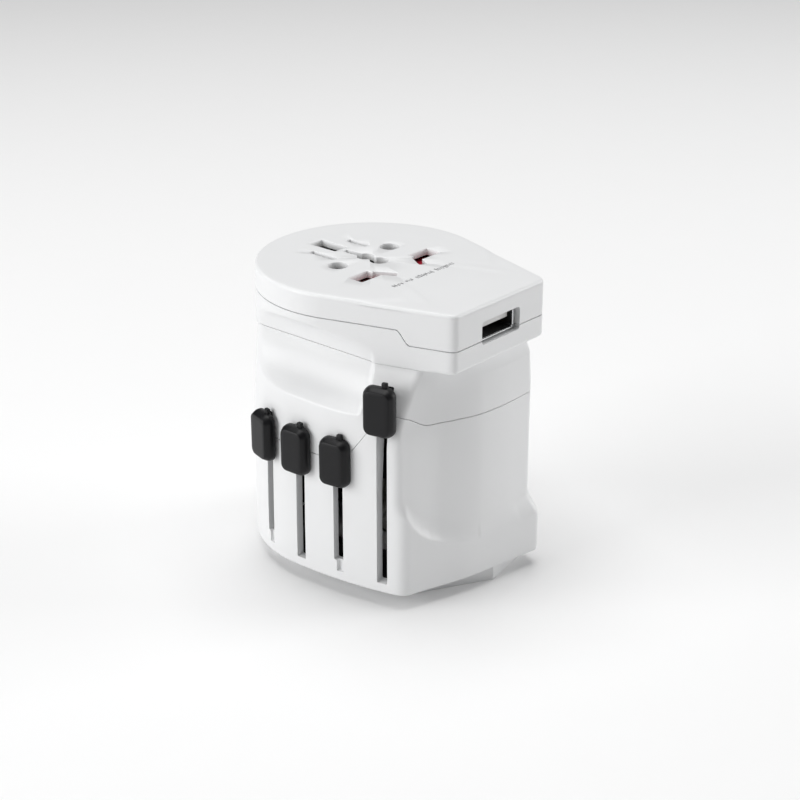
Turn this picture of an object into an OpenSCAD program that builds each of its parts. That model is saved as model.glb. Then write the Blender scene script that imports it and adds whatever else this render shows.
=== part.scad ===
// Universal travel adapter: four pull-down plug sets, one multi-standard socket, one charging port.
// +Z is up, the charging port faces -Y, the slider face is on -X, z = 0 is the resting face.
// The Z axis passes midway between the two round socket holes. All sizes in mm.

/* [View] */
// Which piece to draw ("all" draws the whole assembly)

/* [Overall] */
// Height of the socket face above the resting face
total_h = 77; // [70:0.5:85]
// Height of the seam between body and head
seam_z = 61.8; // [55:0.1:66]
// Height of the body's lower edge above the resting face
body_z = 4; // [2:0.5:8]
// Wall thickness of all shells
wall = 2.2; // [1.6:0.1:3]
// Y position of the axis of the round part
axis_y = -2.3; // [-6:0.1:2]

/* [Head] */
// Radius of the round part of the head
head_r = 28.7; // [26:0.1:31]
// Angle of the tapered sides of the nose
taper_a = 17.75; // [10:0.25:25]
// Corner radius of the nose
nose_r = 2.6; // [2.3:0.1:5]
// X of the nose corner centres
nose_x = 15; // [10:0.1:20]
// Y of the nose corner centres
nose_y = -40.7; // [-45:0.1:-35]
// Split height between cover and tray, round part
split_z = 71.1; // [69:0.1:73]
// Split height between cover and tray, nose part
split_nose_z = 67.6; // [66:0.1:70]
// Thickness of the socket face
face_t = 2.5; // [1.5:0.1:4]

/* [Body] */
// Radius of the round part of the body
body_r = 30.3; // [28:0.1:33]
// Radius of the gently curved slider face
side_r = 110; // [80:1:150]
// Top of the wide lower band
band_z = 15.5; // [12:0.5:20]
// Thickness of the floor
floor_t = 2.2; // [1.5:0.1:3]

/* [Thumb dish] */
// Radius of the thumb dish above the sliders
dish_r = 10.2; // [8:0.1:14]
// X of the dish axis
dish_x = -32.6; // [-36:0.1:-28]
// Z of the dish axis
dish_z = 59.6; // [55:0.1:65]
// Y where the dish starts
dish_y0 = -24.2; // [-30:0.1:-15]
// Y where the dish ends
dish_y1 = 17; // [5:0.5:20]

/* [Sliders] */
// Width of the slider slots
slot_w = 2.8; // [2.4:0.1:3.5]
// Width of the slider stems
stem_w = 2.2; // [1.8:0.1:2.6]
// Height of the slider stems
stem_h = 14.1; // [12:0.1:18]
// Width of the slider buttons
button_w = 8.2; // [6:0.1:10]
// Height of the slider buttons
button_h = 12.6; // [10:0.1:16]
// How far the buttons stand proud of the slider face
button_t = 3.1; // [2:0.1:5]
// Top of the stems of sliders one to three
stem_top = 44.3; // [40:0.1:50]
// Top of the stem of slider four
stem_top_4 = 60.2; // [55:0.1:61]
// Travel of plug set one
travel_1 = 20.3; // [15:0.1:25]
// Travel of plug set two
travel_2 = 23.3; // [15:0.1:25]
// Travel of plug set three
travel_3 = 20.3; // [15:0.1:25]
// Travel of plug set four
travel_4 = 38; // [30:0.1:40]

/* [Plug sets] */
// Thickness of the carriage plates
plate_t = 4.6; // [3:0.1:6]
// Diameter of the guide rods
rod_d = 2.4; // [2:0.1:3]
// Radial running clearance on the rods
rod_fit = 0.05; // [0.02:0.01:0.1]
// Y of the line and neutral pins of plug set one
uk_y = 17.3; // [15:0.1:18]
// Y of the line and neutral blades of plug set two
au_y = -5.5; // [-7:0.1:-4]
// Y of the line and neutral blades of plug set three
us_y = -16.7; // [-18:0.1:-15]
// Y of the pins of plug set four
eu_y = -33.8; // [-35:0.1:-32]
// X of the middle pin of plug set four
eu_x = 4.5; // [3:0.1:6]

/* [Charging port] */
// Width of the port cut-out
port_w = 14.4; // [13:0.1:16]
// Height of the port cut-out
port_h = 5.8; // [5:0.1:7]
// Height of the port centre
port_z = 69.5; // [68:0.1:71]

/* [Hidden] */
$fn = 96;
eps = 0.01;
lap = 0.03;
big = 120;
cavity_z = body_z + floor_t;
band_k = 41.08;
corner = [-22.05, -31.86];
corner_r = 4;
low_nose = [14.42, -41.89];
up_nose = [14.2, -39.6];
// slider positions: point on the slider face and outward direction
slider_a = [164, 181.67, 187.84, 194.26];
slider_p = [[-29.13, 6.05], [-30.2, -5.5], [-29.2, -17.3], [-26.8, -29.4]];
slider_top = [stem_top, stem_top, stem_top, stem_top_4];
slot_low = [9.6, 6.6, 9.6, 6.6];
slot_top = [42.9, 42.9, 42.9, 57.3];
rods = [[-19, 6.5], [-19, -5.5], [-19, -16.7], [-16.6, -28.6]];
plate_z = [26.8, 29.8, 26.8, 44.5];
stem_in = [7, 7, 7, 8.6];
web_in = [6.6, 6.6, 6.6, 7.6];
posts = [[18.4, -2.5], [15.6, -23], [-18.6, 14.4]];

// ---------- helpers ----------

function dir(a) = [cos(a), sin(a)];

module at_slider(i) {
  translate([slider_p[i][0], slider_p[i][1], 0]) rotate([0, 0, slider_a[i]]) children();
}

module box(x0, x1, y0, y1, z0, z1) {
  translate([x0, y0, z0]) cube([x1 - x0, y1 - y0, z1 - z0]);
}

module rod(p, d, z0, z1) {
  translate([p[0], p[1], z0]) cylinder(d = d, h = z1 - z0, $fn = 48);
}

// ---------- outlines ----------

module head2d(i) {
  t = dir(-taper_a);
  a = [0, axis_y] + (head_r - i + lap) * t;
  b = [nose_x, nose_y] + (nose_r - i + lap) * t;
  c = [nose_x, nose_y - nose_r + i - lap];
  translate([0, axis_y]) circle(r = head_r - i, $fn = 180);
  polygon([a, b, c, [-c[0], c[1]], [-b[0], b[1]], [-a[0], a[1]]]);
  for (s = [-1, 1]) translate([s * nose_x, nose_y]) circle(r = nose_r - i, $fn = 40);
}

module side2d(i) {
  // round part, slider face and its rounded front corner
  t1 = corner + (corner_r - i + lap) * dir(196.2);
  t2 = corner + (corner_r - i + lap) * dir(252.2);
  translate([0, axis_y]) circle(r = body_r - i, $fn = 180);
  intersection() {
    translate([side_r - body_r, axis_y]) circle(r = side_r - i + lap, $fn = 720);
    polygon([[0, axis_y], [-40, axis_y], [-40, t1[1]], [0, t1[1]]]);
  }
  translate(corner) circle(r = corner_r - i, $fn = 48);
  polygon([[0, t1[1] + 1], [t1[0] + 1, t1[1] + 1], t1, t2, [0, t2[1]]]);
}

module low2d(i) {
  n = dir(-21.1);
  t2 = corner + (corner_r - i + lap) * dir(252.2);
  q = [-6.7, -41 + 1.03 * i];
  f = low_nose + (2.6 - i + lap) * dir(260.5);
  g = low_nose + (2.6 - i + lap) * n;
  k = [0, axis_y] + (body_r - i + lap) * n;
  side2d(i);
  polygon([[0, axis_y], corner, t2, q, f, g, k]);
  translate(low_nose) circle(r = 2.6 - i, $fn = 40);
}

module up2d(i) {
  n = dir(-23.5);
  t2 = corner + (corner_r - i + lap) * dir(252.2);
  q = [-4.2, -41.7 + 1.02 * i];
  f = up_nose + (2.4 - i + lap) * dir(270);
  g = up_nose + (2.4 - i + lap) * n;
  k = [0, axis_y] + (body_r - i + lap) * n;
  side2d(i);
  polygon([[0, axis_y], corner, t2, q, f, g, k]);
  translate(up_nose) circle(r = 2.4 - i, $fn = 40);
}

module base2d(i) {
  polygon([
    [-16.8 + i, -30.8 + i], [1.9, -41.2 + i], [15.4 - i, -38.6 + i], [21.9 - i, -20], [22.6 - i, 8],
    [16.5 - i, 21.6 - i], [-16.5 + i, 21.6 - i], [-23.5 + i, 12.5], [-22.4 + i, -10], [-20 + i, -24]
  ]);
}

// ---------- cutting shapes ----------

module dish(i) {
  // thumb dish across the head tray and the upper body
  translate([dish_x, dish_y1 + i, dish_z]) rotate([90, 0, 0])
    cylinder(r = dish_r + i, h = dish_y1 - dish_y0 + 2 * i, $fn = 120);
}

module scoop(i) {
  // shallow finger scoop on the front left
  translate([-41.8, -91.3, 24]) cylinder(r = 60.5 + i, h = 50, $fn = 240);
  translate([-41.8, -91.3, 14.5 - i]) cylinder(r1 = 58 + i, r2 = 59.6 + i, h = 5.5 + i + eps, $fn = 240);
  translate([-41.8, -91.3, 20]) cylinder(r1 = 59.6 + i, r2 = 60.5 + i, h = 4 + eps, $fn = 240);
}

module flare(i) {
  // the slider corner leans in towards the head
  translate([0, axis_y, 0]) rotate([0, 0, 180 + taper_a]) rotate([90, 0, 0])
    translate([0, 0, -60]) linear_extrude(120)
      polygon([[28.2 - i, 70], [28.2 - i, 61.8], [30.6 - i, 57], [32.6 - i, 51], [34.2 - i, 43], [50, 43], [50, 70]]);
}

module flare_mask() {
  // the flare only works on the corner in front of the dish
  box(-60, 0, -60, dish_y0, 0, 100);
}

module ring(i) {
  // the round part narrows a little towards the head
  intersection() {
    translate([0, axis_y, 0]) rotate_extrude($fn = 180)
      polygon([[28.2 - i, 70], [28.2 - i, 61.8], [29 - i, 54], [29.9 - i, 40], [30.4 - i, 26], [50, 26], [50, 70]]);
    union() {
      box(-60, 60, -2.3, 60, 0, 100);
      box(0, 60, -12.5, 60, 0, 100);
    }
  }
}

module neck(i) {
  // undercut below the nose, right-hand side and front
  translate([0, axis_y, 0]) rotate([0, 0, -taper_a]) rotate([90, 0, 0])
    translate([0, 0, -60]) linear_extrude(120)
      polygon([[26.2 - i, 70], [26.2 - i, 61.2], [27.6 - i, 57], [29.6 - i, 22], [50, 22], [50, 70]]);
}

module front_neck(i) {
  // undercut below the nose, front
  rotate([90, 0, 90]) translate([0, 0, -60]) linear_extrude(120)
    polygon([
      [-40.9 + i, 70], [-40.9 + i, 61.2], [-41.7 + i, 57.5], [-42 + i, 44], [-60, 44], [-60, 70]
    ]);
}

// ---------- body ----------

module body_solid(i, z0, z1) {
  difference() {
    union() {
      translate([0, 0, z0]) linear_extrude(band_z - z0) low2d(i);
      translate([0, 0, band_z - eps]) linear_extrude(z1 - band_z + eps) up2d(i);
    }
    ring(i);
    dish(i);
    scoop(i);
    intersection() {
      flare(i);
      flare_mask();
    }
    intersection() {
      neck(i);
      box(0, 60, -60, -12.5, 0, 100);
    }
    front_neck(i);
  }
}

module below_mid() {
  // everything under the parting line of the two body shells
  intersection() {
    rotate([90, 0, 90]) translate([0, 0, -60]) linear_extrude(120)
      polygon([
        [60, -1], [60, 36.5], [-18.6, 36.5], [-20, 37.6], [-24.9, 45.4], [-27, 47.8],
        [-29.5, 49.5], [-32.5, 50.5], [-35, 50.8], [-60, 50.8], [-60, -1]
      ]);
    rotate([90, 0, 0]) translate([0, 0, -60]) linear_extrude(120)
      polygon([[-60, -2], [-60, 50.6], [-24, 50.4], [-21.5, 49.6], [-18, 48.2], [-14, 47.5], [60, 47.4], [60, -2]]);
  }
}

module slots() {
  for (i = [0:3]) at_slider(i) {
    box(-stem_in[i] - 0.4, 4, -slot_w / 2, slot_w / 2, slot_low[i], slot_top[i]);
    box(-0.9, 4, -0.4, slot_w / 2, 6.6, slot_low[i] + 1);
  }
}

module post_bores() {
  for (p = posts) {
    rod(p, 5.4, body_z - 1, 24);
    rod(p, 3.1, 23.9, 36.5);
    rod(p, 2.7, 36.4, 48);
  }
}

module body_shell() {
  // hollow body with floor, screw posts, slots and bores, before it is split
  difference() {
    union() {
      difference() {
        body_solid(0, body_z, seam_z);
        body_solid(wall, cavity_z, seam_z + 1);
      }
      intersection() {
        body_solid(0.5, body_z + 0.5, seam_z);
        union() {
          for (p = posts) rod(p, 7, body_z + 1, 56);
          box(18, 28, -3.3, -1.7, cavity_z - 1, 50.9);
          box(15, 25, -23.8, -22.2, cavity_z - 1, 50.9);
          // shelf that carries the guide bridge
          difference() {
            box(-21.9, 26, -33, 22, 50.6, 52);
            box(-16.4, 19.4, -36, 17, 50, 53);
            box(-40, -14, -40, -24.4, 50, 53);
          }
        }
      }
    }
    slots();
    post_bores();
    pin_holes(0.45, body_z - 1, cavity_z + 1);
    for (p = rods) {
      rod(p, rod_d, body_z + 1, cavity_z + 1);
      rod(p, rod_d + 0.4, 48, 56);
    }
  }
}

module upper_body() {
  color([0.93, 0.93, 0.92])
    difference() {
      body_shell();
      below_mid();
    }
}

module lower_body() {
  color([0.92, 0.92, 0.91])
    intersection() {
      body_shell();
      below_mid();
    }
}

module base_plate() {
  color([0.9, 0.9, 0.9])
    difference() {
      linear_extrude(body_z) base2d(0);
      pin_holes(0.3, -1, body_z + 1);
      for (p = posts) rod(p, 5.4, -1, body_z + 1);
    }
}

// ---------- head ----------

module below_split() {
  rotate([90, 0, 90]) translate([0, 0, -60]) linear_extrude(120)
    polygon([
      [60, 0], [60, split_z], [-29.4, split_z], [-30, split_z - 0.3], [-30.6, split_z - 1],
      [-31.6, split_nose_z + 0.8], [-32.2, split_nose_z + 0.2], [-33, split_nose_z],
      [-60, split_nose_z], [-60, 0]
    ]);
}

module above_split() {
  rotate([90, 0, 90]) translate([0, 0, -60]) linear_extrude(120)
    polygon([
      [60, 90], [60, split_z], [-29.4, split_z], [-30, split_z - 0.3], [-30.6, split_z - 1],
      [-31.6, split_nose_z + 0.8], [-32.2, split_nose_z + 0.2], [-33, split_nose_z],
      [-60, split_nose_z], [-60, 90]
    ]);
}

module head_shell() {
  difference() {
    translate([0, 0, seam_z]) linear_extrude(total_h - seam_z) head2d(0);
    difference() {
      translate([0, 0, seam_z + 2.2]) linear_extrude(total_h - face_t - seam_z - 2.2) head2d(wall);
      dish(wall);
    }
    dish(0);
    port_cut();
  }
}

module port_cut() {
  box(-port_w / 2, port_w / 2, -50, -39, port_z - port_h / 2, port_z + port_h / 2);
}

module tub2d(i) {
  intersection() {
    translate([-18.5 + i, -17.5 + i]) square([37 - 2 * i, 36 - 2 * i]);
    translate([0, axis_y]) circle(r = 25.2 - i, $fn = 120);
  }
}

module sockets() {
  // all openings in the socket face
  z0 = total_h - face_t - 1;
  h = face_t + 2;
  for (s = [-1, 1]) {
    translate([s * 9.5, 0, z0]) cylinder(d = 5, h = h, $fn = 48);
    translate([s * 11.11 - 3.4, -12.45, z0]) cube([6.8, 4.5, h]);
    translate([s * 6.6, -12.4, z0]) rotate([0, 0, s * -30]) translate([-1.05, -3.6, 0]) cube([2.1, 6.4, h]);
  }
  translate([5.45, 4.4, z0]) cube([1.8, 6.8, h]);
  translate([-7.25, 3.6, z0]) cube([1.8, 8.5, h]);
  translate([-2.2, 7.75, z0]) cube([4.4, 8.6, h]);
  translate([-0.85, -0.4, z0]) cube([1.7, 6.8, h]);
  translate([0, -0.5, z0]) cylinder(d = 4.4, h = h, $fn = 48);
  translate([0, -5.1, z0]) cylinder(d = 4.8, h = h, $fn = 48);
  translate([-1.2, -4, z0]) cube([2.4, 3, h]);
}

module top_cover() {
  color([0.95, 0.95, 0.94])
    difference() {
      intersection() {
        head_shell();
        above_split();
      }
      sockets();
    }
}

module head_tray() {
  color([0.93, 0.93, 0.92])
    union() {
      difference() {
        intersection() {
          head_shell();
          below_split();
        }
        translate([0, 0, seam_z - 1]) linear_extrude(5) tub2d(-0.3);
      }
      // pillars for the circuit board
      for (x = [-10, 10], y = [-37, -22.5]) rod([x, y], 4, seam_z + 2.1, 65.2);
    }
}

// ---------- sliders, carriages and pins ----------

module stem(i) {
  at_slider(i) box(-stem_in[i], 0.5, -stem_w / 2, stem_w / 2, slider_top[i] - stem_h, slot_top[i] - 0.3);
}

module slider(i) {
  top = slider_top[i] - 1.2;
  color([0.12, 0.12, 0.13]) {
    stem(i);
    at_slider(i) {
      // small nub above the button
      box(0.2, 1.3, 0.55, 2.05, top - 2, slider_top[i]);
      box(0.4, button_t - 0.8, -button_w / 2, button_w / 2, top - button_h + 2.4, top - 2.4);
      box(0.4, button_t - 0.8, -button_w / 2 + 2.4, button_w / 2 - 2.4, top - button_h, top);
      for (y = [-1, 1], z = [top - 2.4, top - button_h + 2.4])
        translate([0.4, y * (button_w / 2 - 2.4), z]) rotate([0, 90, 0])
          cylinder(r = 2.4, h = button_t - 1.2, $fn = 32);
      box(0.4, button_t, -button_w / 2 + 1, button_w / 2 - 1, top - button_h + 2.2, top - 2.2);
      box(0.4, button_t, -button_w / 2 + 2.2, button_w / 2 - 2.2, top - button_h + 1, top - 1);
    }
  }
}

module slider_1() { slider(0); }
module slider_2() { slider(1); }
module slider_3() { slider(2); }
module slider_4() { slider(3); }

module web(i, x1, y0, y1) {
  // block that joins the stem to the plate and runs on the guide rod
  box(slider_p[i][0] + web_in[i], x1, y0, y1, plate_z[i], plate_z[i] + 7);
  rod(rods[i], 5.4, plate_z[i], plate_z[i] + 7);
}

module uk_pins2d(c) {
  for (s = [-1, 1]) translate([s * 11.11, uk_y]) square([6.35 + 2 * c, 4 + 2 * c], center = true);
  translate([0, uk_y - 22.23]) square([4 + 2 * c, 8 + 2 * c], center = true);
}

module au_pins2d(c) {
  for (s = [-1, 1]) translate([s * 6.86, au_y]) rotate(s * 30) square([1.6 + 2 * c, 6.3 + 2 * c], center = true);
  translate([0, au_y - 14.27]) square([1.6 + 2 * c, 6.3 + 2 * c], center = true);
}

module us_pins2d(c) {
  for (s = [-1, 1]) translate([s * 6.35, us_y]) square([1.5 + 2 * c, 6.35 + 2 * c], center = true);
  translate([0, us_y - 11.9]) circle(d = 4.8 + 2 * c, $fn = 40);
}

module eu_pins2d(c) {
  for (s = [-1, 0, 1]) translate([eu_x + s * 9.5, eu_y]) circle(d = 4 + 2 * c, $fn = 40);
}

module pin_holes(c, z0, z1) {
  translate([0, 0, z0]) linear_extrude(z1 - z0) {
    uk_pins2d(c);
    au_pins2d(c);
    us_pins2d(c);
    eu_pins2d(c);
  }
}

module pins(z0, z1) {
  color([0.78, 0.77, 0.74]) translate([0, 0, z0]) linear_extrude(z1 - z0) children();
}

module pins_1() { pins(2.6, plate_z[0] + 3) uk_pins2d(0); }
module pins_2() { pins(6.2, plate_z[1] + 3) au_pins2d(0); }
module pins_3() { pins(2.3, plate_z[2] + 3) us_pins2d(0); }
module pins_4() { pins(19, plate_z[3] + 3) eu_pins2d(0); }

module pin_sleeves_1() {
  // insulating sleeves round the upper half of the two live pins
  color([0.1, 0.1, 0.11]) translate([0, 0, 11.5]) linear_extrude(plate_z[0] - 11.5)
    for (s = [-1, 1]) translate([s * 11.11, uk_y]) difference() {
      square([6.35 + 0.5, 4.5], center = true);
      square([6.35, 4], center = true);
    }
}

module rod_bore(i) {
  rod(rods[i], rod_d + 2 * rod_fit, plate_z[i] - 1, plate_z[i] + 9);
}

module carriage_1() {
  z = plate_z[0];
  color([0.2, 0.2, 0.21]) difference() {
    union() {
      web(0, -14.9, 3.9, 9.1);
      box(-14.9, 14.9, 2.4, 20, z, z + plate_t);
      box(-2.7, 2.7, -9, 2.5, z, z + plate_t);
    }
    stem(0);
    rod_bore(0);
    translate([0, 0, z - 1]) linear_extrude(4) uk_pins2d(0);
    box(-7, 7, 7, 20.1, z + 1.6, z + plate_t + 1);
  }
}

module carriage_2() {
  z = plate_z[1];
  color([0.2, 0.2, 0.21]) difference() {
    union() {
      web(1, -10.4, -7.7, -3.3);
      for (s = [-1, 1]) translate([s * 7.2 - 3.3, -12.7, z]) cube([6.6, 11, plate_t]);
      box(-10.5, 10.5, -12.7, -9.4, z, z + plate_t);
      box(-1.9, 1.9, -23.4, -9.4, z, z + plate_t);
    }
    stem(1);
    rod_bore(1);
    translate([0, 0, z - 1]) linear_extrude(4) au_pins2d(0);
  }
}

module carriage_3() {
  z = plate_z[2];
  color([0.2, 0.2, 0.21]) difference() {
    union() {
      web(2, -8, -18.7, -14.7);
      for (s = [-1, 1]) translate([s * 6.35 - 2.1, -26.8, z]) cube([4.2, 13.4, plate_t]);
      box(-8.4, 8.4, -26.8, -23.9, z, z + plate_t);
      box(-3, 3, -31.2, -23.9, z, z + plate_t);
    }
    stem(2);
    rod_bore(2);
    translate([0, 0, z - 1]) linear_extrude(4) us_pins2d(0);
  }
}

module carriage_4() {
  z = plate_z[3];
  color([0.2, 0.2, 0.21]) difference() {
    union() {
      web(3, -9, -30.4, -27.2);
      box(-12.4, -7.3, -33.7, -27.2, z, z + plate_t);
      box(-7.6, eu_x + 9.5, -35, -31.6, z, z + plate_t);
      for (s = [-1, 0, 1]) rod([eu_x + s * 9.5, eu_y], 4.7, z, z + plate_t);
    }
    stem(3);
    rod_bore(3);
    translate([0, 0, z - 1]) linear_extrude(4) eu_pins2d(0);
  }
}

module guide_rods() {
  color([0.7, 0.71, 0.73]) for (p = rods) rod(p, rod_d, body_z + 1, 53.4);
}

module guide_bridge() {
  color([0.16, 0.17, 0.2]) difference() {
    intersection() {
      translate([0, 0, 52]) linear_extrude(2.4) polygon([
        [-19.2, -31.4], [14.4, -31.4], [17.6, -24], [22.6, -11], [24.4, 0], [21.5, 12], [14, 19.6],
        [-14, 19.6], [-20.6, 12.6], [-21, -20], [-20.4, -27]
      ]);
      translate([0, axis_y, 51]) cylinder(r = 26.3, h = 5, $fn = 120);
    }
    for (p = rods) rod(p, rod_d, 51, 53.4);
    for (p = posts) rod(p, 7.6, 51, 56);
    box(-12, 12, -12, 12, 51, 56);
    dish(2.4);
  }
}

// ---------- contacts ----------

module contact_tub() {
  color([0.17, 0.18, 0.2]) difference() {
    union() {
      translate([0, 0, 56]) linear_extrude(14.5) tub2d(0);
      translate([0, 0, 64]) linear_extrude(1.4) tub2d(-1.2);
    }
    difference() {
      translate([0, 0, 57.6]) linear_extrude(20) tub2d(1.5);
      // ribs that part the three circuits
      box(-4.3, -3.3, -17, 18, 57, 70);
      box(3.3, 4.3, -17, 18, 57, 70);
    }
  }
}

module leaf(x0, x1, y0, y1) {
  box(x0, x1, y0, y1, 57.6, 69.6);
}

module contact_side() {
  // one bus bar with its pairs of leaves
  box(4.5, 14.6, -13, 12, 57.6, 58.4);
  leaf(6.7, 7.2, -2.4, 2.4);
  leaf(11.8, 12.3, -2.4, 2.4);
  leaf(5.2, 5.7, 4.9, 10.9);
  leaf(7, 7.5, 4.9, 10.9);
  leaf(8.2, 14, -12.8, -12.3);
  leaf(8.2, 14, -8.1, -7.6);
}

module contact_line() {
  color([0.8, 0.62, 0.3]) contact_side();
}

module contact_neutral() {
  color([0.8, 0.62, 0.3]) mirror([1, 0, 0]) contact_side();
}

module contact_earth() {
  color([0.8, 0.62, 0.3]) {
    box(-2.9, 2.9, -8, 16.4, 57.6, 58.4);
    leaf(-2.8, -2.3, -7.6, 1.6);
    leaf(2.3, 2.8, -7.6, 1.6);
    leaf(-2.6, -2.1, 7.9, 16.2);
    leaf(2.1, 2.6, 7.9, 16.2);
  }
}

// ---------- shutter ----------

module shutter() {
  color([0.5, 0.05, 0.12]) difference() {
    union() {
      box(-15.6, 15.6, -16.4, -6.6, 72.7, 74.2);
      box(-2.4, 2.4, -18.4, -16.3, 71.2, 74.2);
    }
    translate([0, -5.1, 72]) cylinder(d = 6.4, h = 4, $fn = 40);
  }
}

module shutter_spring() {
  color([0.75, 0.76, 0.78]) for (k = [0:6])
    translate([0, -18.7 - k * 1.35, 72.4]) rotate([90, 0, 0]) rotate_extrude($fn = 40)
      translate([1.25, 0]) circle(r = 0.22, $fn = 16);
}

module shutter_stop() {
  color([0.93, 0.93, 0.92]) difference() {
    box(-2.6, 2.6, -28.1, -27.2, 70.6, 74.5);
    box(-1, 1, -30, -27, 70, 71.4);
  }
}

// ---------- charging port and circuit ----------

module port_shell() {
  color([0.8, 0.81, 0.83]) difference() {
    box(-6.7, 6.7, -42.1, -28.2, port_z - 2.6, port_z + 2.6);
    box(-6.35, 6.35, -43, -28.6, port_z - 2.25, port_z + 2.25);
  }
}

module port_tongue() {
  color([0.08, 0.08, 0.09]) {
    box(-5.6, 5.6, -40.6, -30, port_z + 0.1, port_z + 1.9);
    box(-6.3, 6.3, -30.1, -28.7, port_z - 2.2, port_z + 2.2);
  }
}

module port_contacts() {
  color([0.85, 0.7, 0.35]) for (x = [-3.5, -1, 1, 3.5])
    box(x - 0.5, x + 0.5, -40, -30.2, port_z - 0.1, port_z + 0.1);
}

module circuit_board() {
  color([0.1, 0.35, 0.2]) difference() {
    box(-12.6, 12.6, -39.2, -19.4, 65.2, 66.8);
    for (x = [-11.4, 11.4], y = [-38, -20.6]) rod([x, y], 1.4, 65, 67);
  }
}

module transformer() {
  color([0.75, 0.7, 0.2]) {
    box(-11, 0.5, -27.2, -20.2, 66.8, 70.3);
    box(-8.4, -2.1, -27.6, -19.8, 67.4, 70.1);
  }
}

module capacitors() {
  color([0.15, 0.17, 0.35]) {
    rod([4, -23], 4.6, 66.8, 70.4);
    rod([9.3, -23], 4.6, 66.8, 70.4);
  }
}

module chips() {
  color([0.08, 0.08, 0.09]) {
    box(-11.6, -8.2, -33, -29.2, 66.8, 67.9);
    box(8.4, 11.6, -36, -33.4, 66.8, 67.8);
    box(8.6, 11.4, -31.4, -28.6, 66.8, 68.2);
  }
}

module lay_x(x0, x1, y, z, d) {
  translate([x0, y, z]) rotate([0, 90, 0]) cylinder(d = d, h = x1 - x0, $fn = 40);
}

module fuse_tube() {
  color([0.85, 0.9, 0.92]) lay_x(-5, 5, -21.4, 57.4, 4.6);
}

module fuse_caps() {
  color([0.78, 0.79, 0.8]) {
    lay_x(-10, -5, -21.4, 57.4, 5.2);
    lay_x(5, 10, -21.4, 57.4, 5.2);
  }
}

module fuse_clips() {
  color([0.8, 0.62, 0.3]) for (x = [-9.2, 6.2]) difference() {
    box(x, x + 3, -24.6, -18.2, 54.4, 58.6);
    lay_x(x - 1, x + 4, -21.4, 57.4, 5.2);
    box(x - 1, x + 4, -23.4, -19.4, 57.4, 60);
  }
}

module body_screws() {
  color([0.7, 0.71, 0.73]) for (p = posts) difference() {
    union() {
      rod(p, 5, 22, 24);
      rod(p, 2.7, 23.9, 46);
    }
    translate([p[0] - 1.8, p[1] - 0.35, 21.5]) cube([3.6, 0.7, 1.3]);
    translate([p[0] - 0.35, p[1] - 1.8, 21.5]) cube([0.7, 3.6, 1.3]);
  }
}

top_cover();
head_tray();
upper_body();
lower_body();
base_plate();
slider_1();
slider_2();
slider_3();
slider_4();
carriage_1();
carriage_2();
carriage_3();
carriage_4();
pins_1();
pins_2();
pins_3();
pins_4();
pin_sleeves_1();
guide_rods();
guide_bridge();
contact_tub();
contact_line();
contact_neutral();
contact_earth();
shutter();
shutter_spring();
shutter_stop();
port_shell();
port_tongue();
port_contacts();
circuit_board();
transformer();
capacitors();
chips();
fuse_tube();
fuse_caps();
fuse_clips();
body_screws();
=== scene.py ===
"""Universal travel adapter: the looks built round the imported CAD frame. Sizes inside are in mm."""
import math

import bmesh
import bpy
import numpy as np
from mathutils import Matrix, Vector


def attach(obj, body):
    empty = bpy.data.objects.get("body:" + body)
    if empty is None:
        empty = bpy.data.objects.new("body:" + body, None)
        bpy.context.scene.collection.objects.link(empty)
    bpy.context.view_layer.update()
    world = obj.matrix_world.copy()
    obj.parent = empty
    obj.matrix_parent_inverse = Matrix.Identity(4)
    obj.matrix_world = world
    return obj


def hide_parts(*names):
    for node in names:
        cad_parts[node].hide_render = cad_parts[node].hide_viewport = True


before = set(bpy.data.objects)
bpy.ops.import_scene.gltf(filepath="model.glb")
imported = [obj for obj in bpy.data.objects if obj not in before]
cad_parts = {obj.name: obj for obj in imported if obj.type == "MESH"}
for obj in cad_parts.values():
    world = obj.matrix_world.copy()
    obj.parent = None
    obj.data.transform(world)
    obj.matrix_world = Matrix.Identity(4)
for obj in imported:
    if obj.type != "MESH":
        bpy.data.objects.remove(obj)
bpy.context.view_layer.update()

MM = 0.001
AXIS_Y = -2.3          # axis of the round part
WALL = 2.2
HEAD_BOTTOM = 61.8
TOP = 77.0
BODY_BOTTOM = 4.0
COLS = 720             # columns round every shell
HEAD_R = 28.7          # radius of the head's round part
NOSE_TURN = 17.75      # how far the nose's side walls turn from straight ahead, in degrees
BASE_R = 30.3          # radius that the round part's narrowing is counted from
SIDE_X, SIDE_R = 79.7, 110     # centre and radius of the slider face's wide curve
DISH_X, DISH_Z, DISH_R = -32.6, 59.6, 10.2     # thumb dish
MID_Z = 36.6           # joint between the body shells round the back
CORNER_WALL = 1.3      # extra wall round the corner that holds the fourth slot
COVER_T = 1.7          # thickness of the cover's top
CROWN = 50             # smoothing angle of the shells, in degrees
FAR = 1e3              # a wall that lies out of reach
GAP = 0.07             # half the joint between the body shells
SEAM = 0.11            # half the joint between cover and tray
LIFT = 0.06            # half the joint between head and body
MOUTH = 0.12           # how far the openings widen at the face
TOP_FACE = TOP - 0.03
PORT_Z = 69.5


# ---------------------------------------------------------------- helpers

def linked(name, data):
    """New object with that data, in the scene."""
    obj = bpy.data.objects.new(name, data)
    bpy.context.scene.collection.objects.link(obj)
    return obj


def new_object(name, verts, faces, smooth_angle=35):
    """Mesh object from points in mm."""
    mesh = bpy.data.meshes.new(name)
    points = [tuple(v) for v in np.asarray(verts) * MM]
    mesh.from_pydata(points, [], [tuple(int(i) for i in f) for f in faces])
    mesh.validate()
    obj = linked(name, mesh)
    tidy_mesh(obj, smooth_angle)
    return obj


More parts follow.
